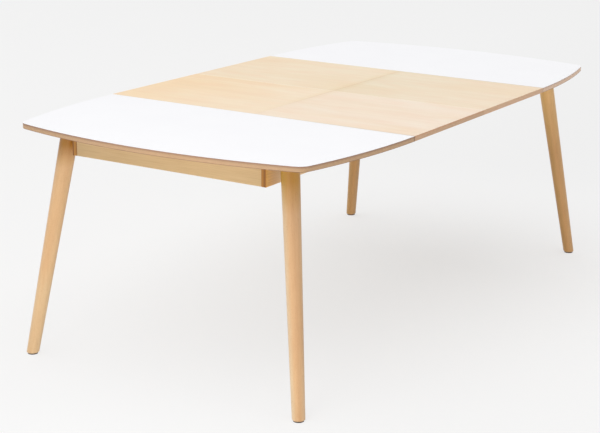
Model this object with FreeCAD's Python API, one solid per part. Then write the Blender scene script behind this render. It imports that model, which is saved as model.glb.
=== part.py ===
import FreeCAD, Part
import math
import os

# A dining table that grows by two butterfly leaves.  Millimetres.
# X runs along the table, Y across it and Z up; the origin is on the floor under the centre.
# "Far" is +X, "near" is -X, "left" is +Y and "right" is -Y.
# The table stands open, with both leaves laid flat.  Each end half carries its own two legs and slides
# outwards; the half at -X is the half at +X given a half turn about Z, its slide members included.

# Overall sizes
TABLE_LENGTH = 2114.0
TABLE_WIDTH = 1140.0
TABLE_HEIGHT = 740.0
TOP_THICK = 16.0
LEAF_LENGTH = 475.0
SEAM_GAP = 0.5
SIDE_BOW_RADIUS = 2100.0
END_BOW_RADIUS = 1960.0
CORNER_RADIUS = 45.0
LAMINATE_THICK = 0.9

# Frame under each half
FRAME_WIDTH = 700.0
FRAME_SETBACK = 121.0
RAIL_HEIGHT = 75.0
RAIL_THICK = 17.0
APRON_THICK = 17.0
EDGE_ROUNDING = 1.5
DOWEL_RADIUS = 5.0
DOWEL_IN_RAIL = 12.0
DOWEL_IN_APRON = 28.0
DOWEL_SPACING = 40.0
DOWEL_FIT = 0.05
BLOCK_SIDE = 60.0
BLOCK_HEIGHT = 28.0
BLOCK_DROP = 4.0
BRACKET_SIDE = 30.0
BRACKET_WIDTH = 40.0
BRACKET_THICK = 2.0
BRACKET_SPACING = 200.0
BRACKET_COUNT = 2

# Legs
LEG_TOP_RADIUS = 28.0
LEG_FOOT_RADIUS = 19.3
LEG_RAIL_GAP = 18.0
LEG_END_SETBACK = 50.0
LEG_SPLAY_X = 102.0
LEG_SPLAY_Y = 100.0
LEG_FOOT_BEVEL = 2.0
GLIDE_THICK = 4.0
GLIDE_MARGIN = 3.5
LEG_PLATE_THICK = 3.0
LEG_PLATE_CLEARANCE = 2.0
LEG_PLATE_CORNER = 8.0
STUD_RADIUS = 5.0
STUD_LENGTH = 60.0
STUD_FIT = 0.05
STUD_END_SPACE = 3.0

# Telescopic slides: an I-shaped middle member between two C-shaped members
SLIDE_HEIGHT = 40.0
SLIDE_WALL = 3.0
SLIDE_GAP = 0.3
SLIDE_END_CLEARANCE = 4.0
WEB_THICK = 8.0
MOUTH_GAP = 1.0
TONGUE_REACH = 6.0
TONGUE_THICK = 4.0

# Rack, pinion and belt that keep the two halves in step
GEAR_MODULE = 2.0
PINION_TEETH = 12
PRESSURE_ANGLE = 25.0
DEDENDUM = 1.25
BACKLASH = 0.4
RACK_BACK = 3.5
RACK_HEIGHT = 14.0
RACK_END_MARGIN = 12.0
PINION_THICK = 12.0
PINION_OFFSET = 90.0
PINION_WINDOW_GAP = 1.0
AXLE_RADIUS = 2.5
AXLE_FIT = 0.05
AXLE_END_SPACE = 1.0
PINION_BORE_FIT = 0.02
RELEASE_TRAVEL = 30.0
BELT_WIDTH = 6.0
BELT_THICK = 1.5
BELT_GAP = 0.3
PULLEY_RADIUS = 7.5
PULLEY_FLANGE = 2.2
PULLEY_FLANGE_THICK = 1.2
PULLEY_DROP = 1.0

# Pegs that hold the laid leaves in place
PEG_RADIUS = 4.0
PEG_TIP_RADIUS = 2.5
PEG_REACH = 6.0
PEG_TAPER = 3.0
PEG_CLEARANCE = 0.5
PEG_END_SPACE = 2.0
PEG_SPACING = 235.0

# Cradle that stores the folded leaves between the slides
STACK_CLEARANCE = 10.0
SLAT_SPACING = 400.0
SLAT_WIDTH = 60.0
SLAT_THICK = 12.0
HANGER_THICK = 3.0
HANGER_FOOT = 30.0

# Barrel hinges sunk in the facing edges of each leaf's two panels
HINGE_RADIUS = 6.0
HINGE_LENGTH = 28.0
HINGE_DEPTH = 8.0
HINGE_SPACING = 300.0
HINGE_INSET = 0.2
HOOK_THICK = 3.0
HOOK_INNER_RADIUS = 6.0
HOOK_OUTER_RADIUS = 12.0
HOOK_SWEEP = 45.0
HOOK_ROOT_SWEEP = 60.0
HOOK_GAP = 0.4

# Places that follow from the sizes above
UP = FreeCAD.Vector(0, 0, 1)
ORIGIN = FreeCAD.Vector(0, 0, 0)
UNDERSIDE = TABLE_HEIGHT - TOP_THICK
HALF_SEAM = LEAF_LENGTH + SEAM_GAP / 2
FRAME_END = TABLE_LENGTH / 2 - FRAME_SETBACK
RAIL_BOTTOM = UNDERSIDE - RAIL_HEIGHT
RAIL_INNER_Y = FRAME_WIDTH / 2 - RAIL_THICK
APRON_INNER_X = FRAME_END - APRON_THICK
LEG_TOP_X = FRAME_END - LEG_END_SETBACK
LEG_TOP_Y = FRAME_WIDTH / 2 + LEG_RAIL_GAP + LEG_TOP_RADIUS

PITCH_RADIUS = GEAR_MODULE * PINION_TEETH / 2
RACK_TIP_Y = PITCH_RADIUS - GEAR_MODULE
RACK_ROOT_Y = PITCH_RADIUS + DEDENDUM * GEAR_MODULE
TOOTH_PITCH = math.pi * GEAR_MODULE
SLIDE_MOUTH_Y = WEB_THICK / 2 + MOUTH_GAP
SLIDE_BACK_Y = RACK_ROOT_Y + RACK_BACK
SLIDE_HALF_WIDTH = SLIDE_BACK_Y + SLIDE_WALL
SLIDE_Y = RAIL_INNER_Y - SLIDE_HALF_WIDTH
SLIDE_BOTTOM = UNDERSIDE - SLIDE_HEIGHT
SLIDE_MID_Z = UNDERSIDE - SLIDE_HEIGHT / 2
SLIDE_OUTER_X = APRON_INNER_X - SLIDE_END_CLEARANCE
SLIDE_LENGTH = 2 * (SLIDE_OUTER_X - LEAF_LENGTH)
SLIDE_INNER_X = SLIDE_OUTER_X - SLIDE_LENGTH
TONGUE_TOP = UNDERSIDE - SLIDE_WALL - SLIDE_GAP
TONGUE_BOTTOM = SLIDE_BOTTOM + SLIDE_WALL + SLIDE_GAP


def box(x_span, y_span, z_span):
    """A box from three (low, high) pairs."""
    lows = FreeCAD.Vector(x_span[0], y_span[0], z_span[0])
    return Part.makeBox(x_span[1] - x_span[0], y_span[1] - y_span[0], z_span[1] - z_span[0], lows)


def mirror_span(span, side):
    """A (low, high) pair on the + side, or its mirror image where side is -1."""
    return tuple(sorted((side * span[0], side * span[1])))


def cylinder(radius, x, y, z_low, z_high):
    """An upright cylinder."""
    return Part.makeCylinder(radius, z_high - z_low, FreeCAD.Vector(x, y, z_low))


def half_turned(shape):
    """The shape after a half turn about Z."""
    turned = shape.copy()
    turned.rotate(ORIGIN, UP, 180)
    return turned


def moved(shape, x, y, z):
    """The shape carried by a step."""
    result = shape.copy()
    result.translate(FreeCAD.Vector(x, y, z))
    return result


def extrude_x(outline, x_low, x_high):
    """A closed outline of (y, z) corners, run along X."""
    points = [FreeCAD.Vector(x_low, y, z) for y, z in outline]
    face = Part.Face(Part.makePolygon(points + points[:1]))
    return face.extrude(FreeCAD.Vector(x_high - x_low, 0, 0))


def extrude_up(outline, z_low, z_high):
    """A closed outline of (x, y) corners, run upwards."""
    points = [FreeCAD.Vector(x, y, z_low) for x, y in outline]
    face = Part.Face(Part.makePolygon(points + points[:1]))
    return face.extrude(FreeCAD.Vector(0, 0, z_high - z_low))


# ---- End panels ----

def arc_point(centre, radius, towards):
    """The point of a circle in the direction of another point."""
    step = towards - centre
    return centre + step * (radius / step.Length)


def circle_crossing(first, first_radius, second, second_radius):
    """The crossing of two circles in the XY plane on the +Y side of the line from second to first."""
    between = first - second
    distance = between.Length
    along = (second_radius ** 2 - first_radius ** 2 + distance ** 2) / (2 * distance)
    across = math.sqrt(second_radius ** 2 - along ** 2)
    direction = between * (1 / distance)
    sideways = FreeCAD.Vector(-direction.y, direction.x, 0)
    candidates = [second + direction * along + sideways * across * sign for sign in (1, -1)]
    return max(candidates, key=lambda point: point.x)


def end_panel(z_low, z_high):
    """The bowed outline of the +X end panel, between two heights."""
    side_centre = FreeCAD.Vector(HALF_SEAM, TABLE_WIDTH / 2 - SIDE_BOW_RADIUS, 0)
    end_centre = FreeCAD.Vector(TABLE_LENGTH / 2 - END_BOW_RADIUS, 0, 0)
    corner = circle_crossing(side_centre, SIDE_BOW_RADIUS - CORNER_RADIUS,
                             end_centre, END_BOW_RADIUS - CORNER_RADIUS)
    seam_end = FreeCAD.Vector(HALF_SEAM, TABLE_WIDTH / 2, 0)
    side_end = arc_point(side_centre, SIDE_BOW_RADIUS, corner)
    side_middle = arc_point(side_centre, SIDE_BOW_RADIUS, (seam_end + side_end) * 0.5)
    end_start = arc_point(end_centre, END_BOW_RADIUS, corner)
    corner_middle = arc_point(corner, CORNER_RADIUS, corner + (side_end - corner) + (end_start - corner))
    apex = FreeCAD.Vector(TABLE_LENGTH / 2, 0, 0)

    def flipped(point):
        return FreeCAD.Vector(point.x, -point.y, point.z)

    edges = [
        Part.LineSegment(flipped(seam_end), seam_end),
        Part.Arc(seam_end, side_middle, side_end),
        Part.Arc(side_end, corner_middle, end_start),
        Part.Arc(end_start, apex, flipped(end_start)),
        Part.Arc(flipped(end_start), flipped(corner_middle), flipped(side_end)),
        Part.Arc(flipped(side_end), flipped(side_middle), flipped(seam_end)),
    ]
    face = Part.Face(Part.Wire([edge.toShape() for edge in edges]))
    return moved(face, 0, 0, z_low).extrude(FreeCAD.Vector(0, 0, z_high - z_low))


def top_core():
    """Birch plywood between the two laminate sheets."""
    return end_panel(UNDERSIDE + LAMINATE_THICK, TABLE_HEIGHT - LAMINATE_THICK)


def top_laminate():
    """White sheet on top."""
    return end_panel(TABLE_HEIGHT - LAMINATE_THICK, TABLE_HEIGHT)


def top_backing():
    """Balancing sheet below."""
    return end_panel(UNDERSIDE, UNDERSIDE + LAMINATE_THICK)


# ---- Frame ----

def long_edges(shape, direction):
    """The straight edges that run along a direction."""
    return [edge for edge in shape.Edges
            if isinstance(edge.Curve, Part.Line) and abs(edge.tangentAt(edge.FirstParameter).dot(direction)) > 0.999]


def dowel_spots():
    """(side, height) of each dowel between the apron and a side rail."""
    middle = RAIL_BOTTOM + RAIL_HEIGHT / 2
    heights = (middle - DOWEL_SPACING / 2, middle + DOWEL_SPACING / 2)
    return [(side, height) for side in (1, -1) for height in heights]


def apron_dowel(side, height, fit):
    """One dowel across an apron joint; fit widens and lengthens it into its bore."""
    span = mirror_span((RAIL_INNER_Y - DOWEL_IN_APRON - fit, RAIL_INNER_Y + DOWEL_IN_RAIL + fit), side)
    start = FreeCAD.Vector(FRAME_END - APRON_THICK / 2, span[0], height)
    return Part.makeCylinder(DOWEL_RADIUS + fit, span[1] - span[0], start, FreeCAD.Vector(0, 1, 0))


def dowel_bores():
    return Part.makeCompound([apron_dowel(side, height, DOWEL_FIT) for side, height in dowel_spots()])


def rail(side):
    """A side rail, whose end grain shows beside the apron."""
    bar = box((HALF_SEAM, FRAME_END), mirror_span((RAIL_INNER_Y, FRAME_WIDTH / 2), side), (RAIL_BOTTOM, UNDERSIDE))
    lower = [edge for edge in long_edges(bar, FreeCAD.Vector(1, 0, 0)) if edge.CenterOfMass.z < SLIDE_BOTTOM]
    return bar.makeFillet(EDGE_ROUNDING, lower).cut(dowel_bores())


def apron():
    """The end apron, set between the side rails."""
    board = box((APRON_INNER_X, FRAME_END), (-RAIL_INNER_Y, RAIL_INNER_Y), (RAIL_BOTTOM, UNDERSIDE))
    lower = [edge for edge in long_edges(board, FreeCAD.Vector(0, 1, 0)) if edge.CenterOfMass.z < SLIDE_BOTTOM]
    return board.makeFillet(EDGE_ROUNDING, lower).cut(dowel_bores())


def frame_dowels():
    return Part.makeCompound([apron_dowel(side, height, 0) for side, height in dowel_spots()])


def corner_blocks():
    """Glued triangular blocks inside the two apron corners, below the slides."""
    bottom = RAIL_BOTTOM + BLOCK_DROP
    blocks = []
    for side in (1, -1):
        corner_y = side * RAIL_INNER_Y
        outline = [
            (APRON_INNER_X, corner_y),
            (APRON_INNER_X - BLOCK_SIDE, corner_y),
            (APRON_INNER_X, corner_y - side * BLOCK_SIDE),
        ]
        blocks.append(extrude_up(outline, bottom, bottom + BLOCK_HEIGHT))
    return Part.makeCompound(blocks)


def rail_brackets():
    """Steel angles that hold each rail's outer face to the top."""
    rail_middle = (HALF_SEAM + LEG_TOP_X - LEG_TOP_RADIUS) / 2
    angles = []
    for side in (1, -1):
        face_y = side * FRAME_WIDTH / 2
        outline = [
            (face_y, UNDERSIDE),
            (face_y + side * BRACKET_SIDE, UNDERSIDE),
            (face_y + side * BRACKET_SIDE, UNDERSIDE - BRACKET_THICK),
            (face_y + side * BRACKET_THICK, UNDERSIDE - BRACKET_THICK),
            (face_y + side * BRACKET_THICK, UNDERSIDE - BRACKET_SIDE),
            (face_y, UNDERSIDE - BRACKET_SIDE),
        ]
        for number in range(BRACKET_COUNT):
            x = rail_middle + (number - (BRACKET_COUNT - 1) / 2) * BRACKET_SPACING
            angles.append(extrude_x(outline, x - BRACKET_WIDTH / 2, x + BRACKET_WIDTH / 2))
    return Part.makeCompound(angles)


# ---- Legs ----

def leg_point(side, height):
    """The centre of a leg at a height; legs lean out along and across the table."""
    share = (UNDERSIDE - height) / UNDERSIDE
    return FreeCAD.Vector(LEG_TOP_X + LEG_SPLAY_X * share, side * (LEG_TOP_Y + LEG_SPLAY_Y * share), height)


def leg_axis(side):
    """The direction down a leg."""
    step = leg_point(side, 0) - leg_point(side, UNDERSIDE)
    return step * (1 / step.Length)


def stud(side, fit):
    """The threaded stud in a leg's top; fit widens and lengthens it into its bore."""
    start = leg_point(side, UNDERSIDE)
    length = STUD_LENGTH + (STUD_END_SPACE if fit else 0)
    rod = Part.makeCylinder(STUD_RADIUS + fit, length, start, leg_axis(side))
    above = UNDERSIDE - LEG_PLATE_THICK
    reach = LEG_TOP_RADIUS
    centre_y = side * LEG_TOP_Y
    cap = box((LEG_TOP_X - reach, LEG_TOP_X + reach), (centre_y - reach, centre_y + reach),
              (above, UNDERSIDE + reach))
    return rod.cut(cap)


def leg(side):
    """A round tapered leg, cut level at its top and foot, with the foot's edge bevelled."""
    overrun = LEG_TOP_RADIUS
    top = leg_point(side, UNDERSIDE)
    length = (leg_point(side, 0) - top).Length
    taper = (LEG_FOOT_RADIUS - LEG_TOP_RADIUS) / length
    axis = leg_axis(side)
    cone = Part.makeCone(LEG_TOP_RADIUS - taper * overrun, LEG_FOOT_RADIUS + taper * overrun,
                         length + 2 * overrun, top - axis * overrun, axis)
    reach_y = LEG_TOP_Y + LEG_SPLAY_Y + 2 * overrun
    slab = box((LEG_TOP_X - 2 * overrun, LEG_TOP_X + LEG_SPLAY_X + 2 * overrun), mirror_span((0, reach_y), side),
               (GLIDE_THICK, UNDERSIDE - LEG_PLATE_THICK))
    foot_radius = LEG_FOOT_RADIUS - LEG_FOOT_BEVEL
    bevel = Part.makeCone(foot_radius, foot_radius + UNDERSIDE, UNDERSIDE, leg_point(side, GLIDE_THICK), UP)
    return cone.common(slab).common(bevel).cut(stud(side, STUD_FIT))


def leg_plates():
    """Steel plates under the top, each with its leg's stud welded on at the splay angle."""
    half_side = LEG_RAIL_GAP + LEG_TOP_RADIUS - LEG_PLATE_CLEARANCE
    plates = []
    for side in (1, -1):
        centre_y = side * LEG_TOP_Y
        plate = box((LEG_TOP_X - half_side, LEG_TOP_X + half_side), (centre_y - half_side, centre_y + half_side),
                    (UNDERSIDE - LEG_PLATE_THICK, UNDERSIDE))
        plate = plate.makeChamfer(LEG_PLATE_CORNER, long_edges(plate, UP))
        plates.append(plate.fuse(stud(side, 0)))
    return Part.makeCompound(plates)


def foot_glides():
    """Nylon discs nailed under the feet."""
    discs = []
    for side in (1, -1):
        foot = leg_point(side, GLIDE_THICK)
        discs.append(cylinder(LEG_FOOT_RADIUS - GLIDE_MARGIN, foot.x, foot.y, 0, GLIDE_THICK))
    return Part.makeCompound(discs)


# ---- Slides ----

def c_outline(centre_y, opening):
    """The C section; opening is +1 where its mouth faces +Y.  Two shelves keep the I's tongues captive."""
    shelf_top = TONGUE_TOP - TONGUE_THICK - SLIDE_GAP
    shelf_low = TONGUE_BOTTOM + TONGUE_THICK + SLIDE_GAP
    levels = [
        (SLIDE_HALF_WIDTH, SLIDE_BOTTOM),
        (SLIDE_MOUTH_Y, SLIDE_BOTTOM),
        (SLIDE_MOUTH_Y, SLIDE_BOTTOM + SLIDE_WALL),
        (SLIDE_BACK_Y, SLIDE_BOTTOM + SLIDE_WALL),
        (SLIDE_BACK_Y, shelf_low),
        (SLIDE_MOUTH_Y, shelf_low),
        (SLIDE_MOUTH_Y, shelf_low + SLIDE_WALL),
        (SLIDE_BACK_Y, shelf_low + SLIDE_WALL),
        (SLIDE_BACK_Y, shelf_top - SLIDE_WALL),
        (SLIDE_MOUTH_Y, shelf_top - SLIDE_WALL),
        (SLIDE_MOUTH_Y, shelf_top),
        (SLIDE_BACK_Y, shelf_top),
        (SLIDE_BACK_Y, UNDERSIDE - SLIDE_WALL),
        (SLIDE_MOUTH_Y, UNDERSIDE - SLIDE_WALL),
        (SLIDE_MOUTH_Y, UNDERSIDE),
        (SLIDE_HALF_WIDTH, UNDERSIDE),
    ]
    return [(centre_y - opening * y, z) for y, z in levels]


def half_slide(side):
    """The member screwed under the +X end panel; its mouth faces +Y on both sides of the table."""
    return extrude_x(c_outline(side * SLIDE_Y, 1), SLIDE_INNER_X, SLIDE_OUTER_X)


def rack(side):
    """The toothed strip inside a half's slide member, with a tooth space abreast of the far pinion."""
    half_tooth = TOOTH_PITCH / 4 - BACKLASH / 4
    slope = math.tan(math.radians(PRESSURE_ANGLE))
    tip_half = half_tooth - GEAR_MODULE * slope
    root_half = half_tooth + DEDENDUM * GEAR_MODULE * slope
    travel = LEAF_LENGTH + RELEASE_TRAVEL
    start = PINION_OFFSET - RELEASE_TRAVEL - RACK_END_MARGIN
    first_tooth = PINION_OFFSET - TOOTH_PITCH / 2
    behind = int((first_tooth - start - root_half) / TOOTH_PITCH)
    count = behind + 1 + int(math.ceil((travel + RACK_END_MARGIN) / TOOTH_PITCH))
    line = side * SLIDE_Y
    root_y = line - RACK_ROOT_Y
    tip_y = line - RACK_TIP_Y
    end = first_tooth + (count - behind) * TOOTH_PITCH
    outline = [(start, line - SLIDE_BACK_Y), (start, root_y)]
    for number in range(count):
        centre = first_tooth + (number - behind) * TOOTH_PITCH
        outline += [
            (centre - root_half, root_y),
            (centre - tip_half, tip_y),
            (centre + tip_half, tip_y),
            (centre + root_half, root_y),
        ]
    outline += [(end, root_y), (end, line - SLIDE_BACK_Y)]
    return extrude_up(outline, SLIDE_MID_Z - RACK_HEIGHT / 2, SLIDE_MID_Z + RACK_HEIGHT / 2)


def middle_slide(side):
    """The I-shaped member between two C members, with windows and bores for its two pinions."""
    line = side * SLIDE_Y
    web = WEB_THICK / 2
    tongue = web + TONGUE_REACH
    right_half = [
        (tongue, TONGUE_BOTTOM),
        (tongue, TONGUE_BOTTOM + TONGUE_THICK),
        (web, TONGUE_BOTTOM + TONGUE_THICK),
        (web, TONGUE_TOP - TONGUE_THICK),
        (tongue, TONGUE_TOP - TONGUE_THICK),
        (tongue, TONGUE_TOP),
    ]
    left_half = [(-y, z) for y, z in reversed(right_half)]
    outline = [(line + y, z) for y, z in right_half + left_half]
    member = extrude_x(outline, -SLIDE_LENGTH / 2, SLIDE_LENGTH / 2)
    window_half = PITCH_RADIUS + GEAR_MODULE + PINION_WINDOW_GAP
    window_height = PINION_THICK / 2 + PINION_WINDOW_GAP
    cutters = []
    for end in (1, -1):
        x = end * PINION_OFFSET
        cutters.append(box((x - window_half, x + window_half), (line - web, line + web),
                           (SLIDE_MID_Z - window_height, SLIDE_MID_Z + window_height)))
        cutters.append(cylinder(AXLE_RADIUS + AXLE_FIT, x, line, SLIDE_BOTTOM,
                                TONGUE_TOP - TONGUE_THICK + AXLE_END_SPACE))
    return member.cut(Part.makeCompound(cutters))


# ---- Pinions and belts ----

def involute_angle(base_radius, radius):
    """How far an involute has turned where it reaches a radius."""
    roll = math.acos(base_radius / radius)
    return math.tan(roll) - roll


def polar(radius, angle):
    return FreeCAD.Vector(radius * math.cos(angle), radius * math.sin(angle), 0)


def pinion_outline():
    """A wire of teeth, one of them centred on +X, with each involute flank drawn in two chords."""
    base = PITCH_RADIUS * math.cos(math.radians(PRESSURE_ANGLE))
    root = PITCH_RADIUS - DEDENDUM * GEAR_MODULE
    pressure = math.radians(PRESSURE_ANGLE)
    half_tooth = (TOOTH_PITCH / 2 - BACKLASH / 2) / (2 * PITCH_RADIUS)
    base_half = half_tooth + math.tan(pressure) - pressure
    radii = (base, PITCH_RADIUS, PITCH_RADIUS + GEAR_MODULE)
    flank = [(root, base_half)] + [(radius, base_half - involute_angle(base, radius)) for radius in radii]
    corners = []
    for number in range(PINION_TEETH):
        middle = number * 2 * math.pi / PINION_TEETH
        corners += [polar(radius, middle - turn) for radius, turn in flank]
        corners += [polar(radius, middle + turn) for radius, turn in reversed(flank)]
    return Part.makePolygon(corners + corners[:1])


def pinion(x, side):
    """A bored pinion, which sits in the window of the middle member."""
    bore = cylinder(AXLE_RADIUS + PINION_BORE_FIT, 0, 0, 0, PINION_THICK)
    teeth = Part.Face(pinion_outline()).extrude(FreeCAD.Vector(0, 0, PINION_THICK)).cut(bore)
    return moved(teeth, x, side * SLIDE_Y, SLIDE_MID_Z - PINION_THICK / 2)


def pulley_bottom():
    """The level of the lower face of the pulleys."""
    return SLIDE_BOTTOM - PULLEY_DROP - BELT_WIDTH - 2 * BELT_GAP - PULLEY_FLANGE_THICK


def pulley(x, side):
    """A belt pulley with a flange below, turned in one piece with the axle of the pinion above it."""
    bottom = pulley_bottom()
    belt_low = bottom + PULLEY_FLANGE_THICK
    belt_high = belt_low + BELT_WIDTH + 2 * BELT_GAP
    flange = PULLEY_RADIUS + PULLEY_FLANGE
    profile = [
        (0, bottom),
        (flange, bottom),
        (flange, belt_low),
        (PULLEY_RADIUS, belt_low),
        (PULLEY_RADIUS, belt_high),
        (AXLE_RADIUS, belt_high),
        (AXLE_RADIUS, TONGUE_TOP - TONGUE_THICK),
        (0, TONGUE_TOP - TONGUE_THICK),
    ]
    points = [FreeCAD.Vector(radius, 0, z) for radius, z in profile]
    face = Part.Face(Part.makePolygon(points + points[:1]))
    return moved(face.revolve(ORIGIN, UP, 360), x, side * SLIDE_Y, 0)


def belt_loop(radius, z_low, z_high):
    """A solid slot shape around the two pulleys of a slide."""
    bar = box((-PINION_OFFSET, PINION_OFFSET), (-radius, radius), (z_low, z_high))
    near_round = cylinder(radius, -PINION_OFFSET, 0, z_low, z_high)
    far_round = cylinder(radius, PINION_OFFSET, 0, z_low, z_high)
    return bar.fuse([near_round, far_round]).removeSplitter()


def timing_belt(side):
    """The belt that makes both pinions of a slide turn together."""
    low = pulley_bottom() + PULLEY_FLANGE_THICK + BELT_GAP
    high = low + BELT_WIDTH
    inner = PULLEY_RADIUS + BELT_GAP
    loop = belt_loop(inner + BELT_THICK, low, high).cut(belt_loop(inner, low, high))
    return moved(loop, 0, side * SLIDE_Y, 0)


# ---- Leaves ----

def leaf_middle():
    """The X of the middle of the far leaf."""
    return SEAM_GAP / 4 + LEAF_LENGTH / 2


def peg_places():
    """The X of every peg, two to a leaf."""
    offsets = (leaf_middle() - PEG_SPACING / 2, leaf_middle() + PEG_SPACING / 2)
    return [end * offset for end in (1, -1) for offset in offsets]


def leaf_pegs():
    """Tapered nylon pegs on the middle members, reaching into the leaves."""
    straight_top = UNDERSIDE + PEG_REACH - PEG_TAPER
    pegs = []
    for side in (1, -1):
        for x in peg_places():
            line = side * SLIDE_Y
            body = cylinder(PEG_RADIUS, x, line, TONGUE_TOP, straight_top)
            tip = Part.makeCone(PEG_RADIUS, PEG_TIP_RADIUS, PEG_TAPER, FreeCAD.Vector(x, line, straight_top))
            pegs.append(body.fuse(tip))
    return Part.makeCompound(pegs)


def hinge_places():
    """The X of the two hinges of the far leaf."""
    return [leaf_middle() + end * HINGE_SPACING / 2 for end in (1, -1)]


def leaf_panel(side):
    """One panel of the far leaf, with blind holes for pegs and hinge barrels."""
    x_span = (SEAM_GAP / 2, LEAF_LENGTH)
    panel = box(x_span, mirror_span((SEAM_GAP / 2, TABLE_WIDTH / 2), side), (UNDERSIDE, TABLE_HEIGHT))
    cutters = []
    for x in peg_places():
        cutters.append(cylinder(PEG_RADIUS + PEG_CLEARANCE, x, side * SLIDE_Y, UNDERSIDE,
                                UNDERSIDE + PEG_REACH + PEG_END_SPACE))
    for x in hinge_places():
        start = FreeCAD.Vector(x, 0, TABLE_HEIGHT - HINGE_DEPTH)
        reach = SEAM_GAP / 2 + HINGE_INSET + HINGE_LENGTH
        cutters.append(Part.makeCylinder(HINGE_RADIUS, reach, start, FreeCAD.Vector(0, side, 0)))
    return panel.cut(Part.makeCompound(cutters))


def hook(sweep_from, sweep_to, x_low, x_high):
    """A ring sector about the fold axis, between two angles counted from straight down towards -Y."""
    ring = Part.makeCylinder(HOOK_OUTER_RADIUS, x_high - x_low, FreeCAD.Vector(x_low, 0, 0),
                             FreeCAD.Vector(1, 0, 0))
    bore = Part.makeCylinder(HOOK_INNER_RADIUS, x_high - x_low, FreeCAD.Vector(x_low, 0, 0),
                             FreeCAD.Vector(1, 0, 0))
    reach = 2 * HOOK_OUTER_RADIUS
    corners = [(0, 0)]
    for sweep in (sweep_from, 0, sweep_to):
        angle = math.radians(sweep)
        corners.append((-reach * math.sin(angle), -reach * math.cos(angle)))
    return ring.cut(bore).common(extrude_x(corners, x_low, x_high))


def barrel_hinge():
    """The +Y half of a hinge, its fold axis on the X axis: a barrel, its curved hook and a slot for the other."""
    start = FreeCAD.Vector(0, SEAM_GAP / 2 + HINGE_INSET, -HINGE_DEPTH)
    barrel = Part.makeCylinder(HINGE_RADIUS, HINGE_LENGTH, start, FreeCAD.Vector(0, 1, 0))
    slot_depth = HOOK_OUTER_RADIUS * math.sin(math.radians(HOOK_SWEEP)) + 2 * HOOK_GAP
    slot = box((-HOOK_THICK - 2 * HOOK_GAP, 0), (0, slot_depth), (-2 * HINGE_DEPTH, 0))
    arm = hook(HOOK_SWEEP, -HOOK_ROOT_SWEEP, HOOK_GAP, HOOK_GAP + HOOK_THICK)
    return barrel.cut(slot).fuse(arm)


def leaf_hinges(side):
    """The hinge halves sunk in one panel of the far leaf."""
    half = barrel_hinge() if side > 0 else half_turned(barrel_hinge())
    return Part.makeCompound([moved(half, x, 0, TABLE_HEIGHT) for x in hinge_places()])


# ---- Storage cradle ----

def storage_top():
    """The level on which two folded leaves lie, one on the other, clear of the closed top."""
    leaf_stack = 4 * TOP_THICK
    return UNDERSIDE - STACK_CLEARANCE - leaf_stack


def storage_slat():
    """The far slat of the cradle."""
    x = SLAT_SPACING / 2
    reach = SLIDE_Y - HANGER_THICK / 2
    slat = box((x - SLAT_WIDTH / 2, x + SLAT_WIDTH / 2), (-reach, reach),
               (storage_top() - SLAT_THICK, storage_top()))
    return slat.makeFillet(EDGE_ROUNDING, long_edges(slat, FreeCAD.Vector(0, 1, 0)))


def slat_hangers():
    """Folded steel straps that carry the slats under the middle members."""
    web = WEB_THICK / 2
    plate = HANGER_THICK / 2
    foot_top = storage_top() - SLAT_THICK
    straps = []
    for side in (1, -1):
        line = side * SLIDE_Y
        outline = [
            (line - web, TONGUE_BOTTOM),
            (line + web, TONGUE_BOTTOM),
            (line + web, TONGUE_BOTTOM - HANGER_THICK),
            (line + plate, TONGUE_BOTTOM - HANGER_THICK),
            (line + plate, foot_top - HANGER_THICK),
            (line - HANGER_FOOT, foot_top - HANGER_THICK),
            (line - HANGER_FOOT, foot_top),
            (line - plate, foot_top),
            (line - plate, TONGUE_BOTTOM - HANGER_THICK),
            (line - web, TONGUE_BOTTOM - HANGER_THICK),
        ]
        if side < 0:
            outline = [(2 * line - y, z) for y, z in outline]
        for end in (1, -1):
            x = end * SLAT_SPACING / 2
            straps.append(extrude_x(outline, x - SLAT_WIDTH / 2, x + SLAT_WIDTH / 2))
    return Part.makeCompound(straps)


# ---- The table ----

def far_half():
    """The pieces of the +X half by name; {side} stands where the half turn swaps left and right."""
    pieces = {
        "top_core": top_core(),
        "top_laminate": top_laminate(),
        "top_backing": top_backing(),
        "apron": apron(),
        "frame_dowels": frame_dowels(),
        "corner_blocks": corner_blocks(),
        "rail_brackets": rail_brackets(),
        "leg_plates": leg_plates(),
        "foot_glides": foot_glides(),
    }
    for word, side in (("left", 1), ("right", -1)):
        pieces[word + "_rail"] = rail(side)
        pieces[word + "_leg"] = leg(side)
        pieces[word + "_slide"] = half_slide(side)
        pieces[word + "_rack"] = rack(side)
        pieces["leaf_" + word + "_panel"] = leaf_panel(side)
        pieces["leaf_" + word + "_hinges"] = leaf_hinges(side)
        pieces[word + "_pinion"] = pinion(PINION_OFFSET, side)
        pieces[word + "_pulley"] = pulley(PINION_OFFSET, side)
    pieces["storage_slat"] = storage_slat()
    return pieces


def swapped(name):
    """A piece's name after the half turn."""
    words = {"left": "right", "right": "left"}
    return "_".join(words.get(word, word) for word in name.split("_"))


def table():
    """Every piece of the table by node name."""
    nodes = {}
    for name, shape in far_half().items():
        nodes["far_" + name] = shape
        nodes["near_" + swapped(name)] = half_turned(shape)
    for word, side in (("left", 1), ("right", -1)):
        nodes[word + "_middle_slide"] = middle_slide(side)
        nodes[word + "_timing_belt"] = timing_belt(side)
    nodes["leaf_pegs"] = leaf_pegs()
    nodes["slat_hangers"] = slat_hangers()
    return nodes


os.makedirs("parts", exist_ok=True)
for node, shape in table().items():
    shape.exportStep(os.path.join("parts", node + ".step"))
    print(node, len(shape.Solids), "solid(s), valid:", shape.isValid())
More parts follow.
